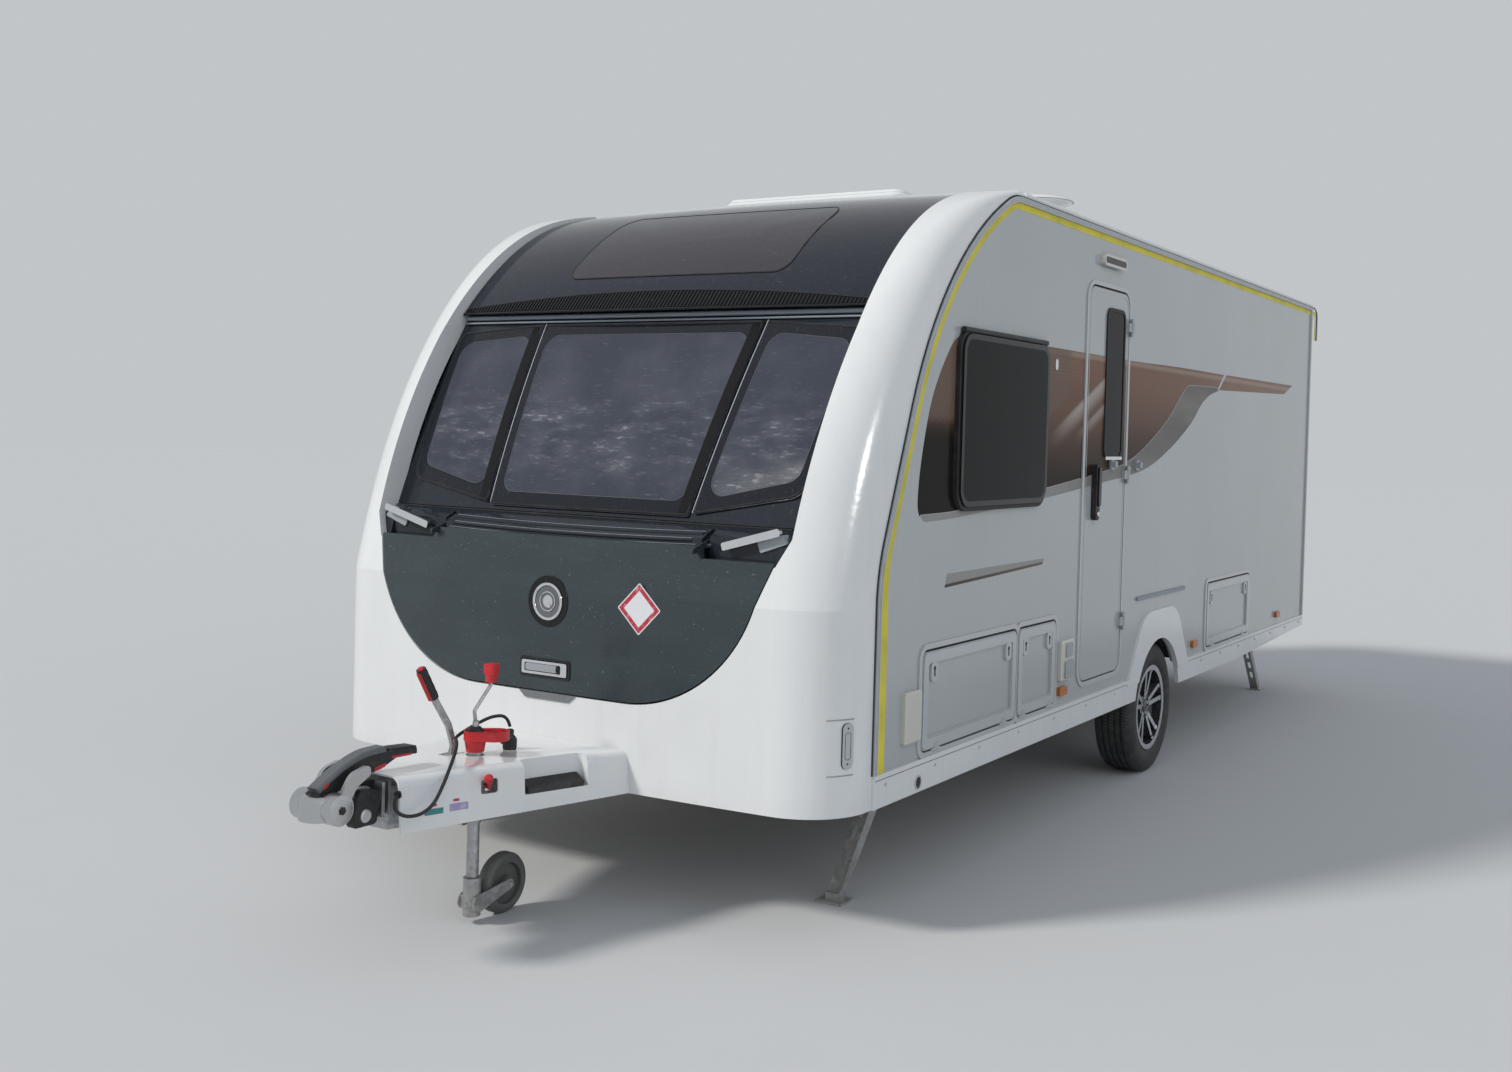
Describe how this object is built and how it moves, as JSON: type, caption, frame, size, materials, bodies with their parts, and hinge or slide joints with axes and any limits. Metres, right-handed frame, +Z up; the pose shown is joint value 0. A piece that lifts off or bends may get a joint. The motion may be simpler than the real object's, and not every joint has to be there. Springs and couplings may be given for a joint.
{
  "type": "travel caravan",
  "caption": "Single-axle travel caravan with a moulded front, hinged door, lids and steadies, and a jockey wheel at its hitch.",
  "frame": {"origin": "middle of the footprint on the ground", "axes": "+X to the door side, +Y to the rear, +Z up; the hitch points along -Y"},
  "size_m": [2.315, 7.48, 2.67],
  "materials": {
    "white_moulding": "glossy white moulding",
    "side_panel": "gloss light grey panel",
    "dark_panel": "gloss dark blue-black",
    "lid": "fine ribbed dark grey-blue",
    "window": "tinted acrylic",
    "chrome": "polished",
    "rail": "satin extrusion",
    "interior": "laminated board",
    "black_plastic": "matte",
    "galvanised": "galvanised",
    "cast": "machined casting",
    "alloy": "painted alloy",
    "tyre": "rubber",
    "rubber": "rubber",
    "red_plastic": "moulded red",
    "lamp": "red lens"
  },
  "bodies": {
    "caravan": {"a_frame_fairing": "white_moulding", "aerial_dome": "white_moulding", "awning_rails": "rail", "axle_beam": "galvanised", "coupling_head": "cast", "cross_members": "galvanised", "draw_bars": "galvanised", "fairing_step_pads": "rubber", "floor_panel": "interior", "front_inner_panel": "dark_panel", "front_moulding": "white_moulding", "front_shelf": "dark_panel", "front_upper_panel": "dark_panel", "front_windows": "window", "gas_locker_box": "interior", "grab_handles": "chrome", "handbrake_lever": "galvanised", "jockey_clamp_lever": "red_plastic", "jockey_collar": "red_plastic", "jockey_outer_tube": "galvanised", "main_rails": "galvanised", "opening_frames": "white_moulding", "rear_bumper": "white_moulding", "rear_lamps": "lamp", "rear_panel": "white_moulding", "rear_window": "window", "roof_panel": "side_panel", "rooflight": "white_moulding", "service_hatches": "white_moulding", "side_skirt_door_side": "white_moulding", "side_skirt_off_side": "white_moulding", "side_wall_door_side": "side_panel", "side_wall_off_side": "side_panel", "side_windows": "window", "stabiliser_handle": "black_plastic", "steady_arms": "galvanised", "tow_cable": "rubber", "tow_cable_gland": "black_plastic", "tow_plug": "black_plastic", "wheel_boxes": "black_plastic"},
    "wheel_door_side": {"tyre_door_side": "tyre", "rim_door_side": "alloy"},
    "wheel_off_side": {"tyre_off_side": "tyre", "rim_off_side": "alloy"},
    "entrance_door": {"entrance_door": "side_panel", "entrance_door_window": "window"},
    "gas_locker_lid": {"gas_locker_lid": "lid"},
    "locker_door_front": {"locker_door_front": "side_panel"},
    "locker_door_middle": {"locker_door_middle": "side_panel"},
    "locker_door_rear": {"locker_door_rear": "side_panel"},
    "jockey_leg": {"jockey_leg": "galvanised"},
    "jockey_fork": {"jockey_fork": "galvanised"},
    "jockey_wheel": {"jockey_wheel": "rubber"},
    "steady_front_door_side": {"steady_front_door_side": "galvanised"},
    "steady_front_off_side": {"steady_front_off_side": "galvanised"},
    "steady_rear_door_side": {"steady_rear_door_side": "galvanised"},
    "steady_rear_off_side": {"steady_rear_off_side": "galvanised"}
  },
  "joints": [
    {"name": "wheel_door_side_spin", "type": "hinge", "parent": "caravan", "child": "wheel_door_side", "pos_m": [1.0145, 0.53, 0.317], "axis": [1, 0, 0], "continuous": true},
    {"name": "wheel_off_side_spin", "type": "hinge", "parent": "caravan", "child": "wheel_off_side", "pos_m": [-1.0145, 0.53, 0.317], "axis": [1, 0, 0], "continuous": true},
    {"name": "entrance_door_hinge", "type": "hinge", "parent": "caravan", "child": "entrance_door", "pos_m": [1.15, -0.047, 1.4], "axis": [0, 0, 1], "range_deg": [0, 170]},
    {"name": "gas_locker_lid_hinge", "type": "hinge", "parent": "caravan", "child": "gas_locker_lid", "pos_m": [0, -2.56, 1.25], "axis": [-1, 0, 0], "range_deg": [0, 70]},
    {"name": "locker_door_front_hinge", "type": "hinge", "parent": "caravan", "child": "locker_door_front", "pos_m": [1.136, -1.6555, 0.526], "axis": [0, 1, 0], "range_deg": [0, 90]},
    {"name": "locker_door_middle_hinge", "type": "hinge", "parent": "caravan", "child": "locker_door_middle", "pos_m": [1.136, -1.0375, 0.526], "axis": [0, 1, 0], "range_deg": [0, 90]},
    {"name": "locker_door_rear_hinge", "type": "hinge", "parent": "caravan", "child": "locker_door_rear", "pos_m": [1.136, 1.7595, 0.527], "axis": [0, 1, 0], "range_deg": [0, 90]},
    {"name": "jockey_leg_slide", "type": "slide", "parent": "caravan", "child": "jockey_leg", "axis": [0, 0, 1], "range_m": [0, 0.17]},
    {"name": "jockey_fork_swivel", "type": "hinge", "parent": "jockey_leg", "child": "jockey_fork", "pos_m": [0.038, -3.082, 0.15], "axis": [0, 0, 1], "continuous": true},
    {"name": "jockey_wheel_spin", "type": "hinge", "parent": "jockey_fork", "child": "jockey_wheel", "pos_m": [0.038, -2.942, 0.1], "axis": [1, 0, 0], "continuous": true},
    {"name": "steady_front_door_side_hinge", "type": "hinge", "parent": "caravan", "child": "steady_front_door_side", "pos_m": [0.88, -1.885, 0.372], "axis": [-1, 0, 0], "range_deg": [0, 48]},
    {"name": "steady_front_off_side_hinge", "type": "hinge", "parent": "caravan", "child": "steady_front_off_side", "pos_m": [-0.88, -1.885, 0.372], "axis": [-1, 0, 0], "range_deg": [0, 48]},
    {"name": "steady_rear_door_side_hinge", "type": "hinge", "parent": "caravan", "child": "steady_rear_door_side", "pos_m": [0.88, 3.12, 0.372], "axis": [1, 0, 0], "range_deg": [0, 48]},
    {"name": "steady_rear_off_side_hinge", "type": "hinge", "parent": "caravan", "child": "steady_rear_off_side", "pos_m": [-0.88, 3.12, 0.372], "axis": [1, 0, 0], "range_deg": [0, 48]}
  ]
}
